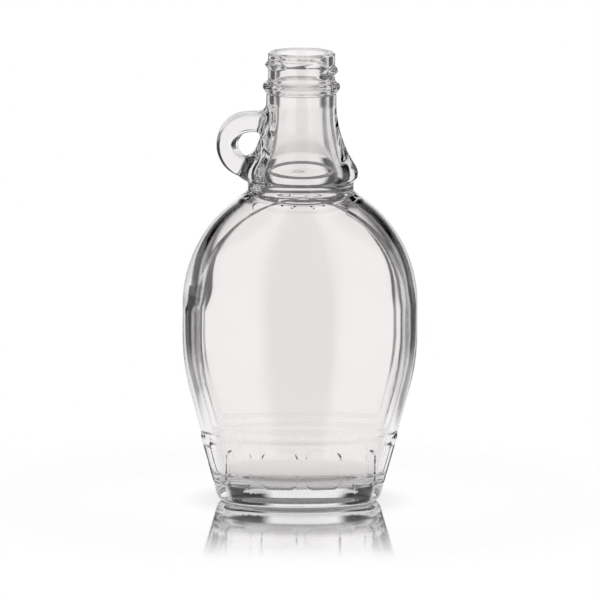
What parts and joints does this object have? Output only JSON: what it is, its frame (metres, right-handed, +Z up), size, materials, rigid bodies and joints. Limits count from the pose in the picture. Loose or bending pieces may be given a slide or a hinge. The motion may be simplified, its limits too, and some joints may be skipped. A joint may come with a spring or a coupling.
{
  "type": "syrup bottle",
  "caption": "Empty clear glass flask with an oval body, flared neck, screw finish, ring handle at the neck and a windowed band above the foot.",
  "frame": {"origin": "middle of the foot, in the plane that the bottle stands on", "axes": "+Z up along the bottle's axis to the mouth; the front broad face looks along -Y; the handle stands towards -X"},
  "size_m": [0.0886, 0.0472, 0.1705],
  "materials": {
    "glass": "clear flint glass, fire-polished"
  },
  "bodies": {
    "root": {"bottle": "glass"}
  },
  "joints": []
}
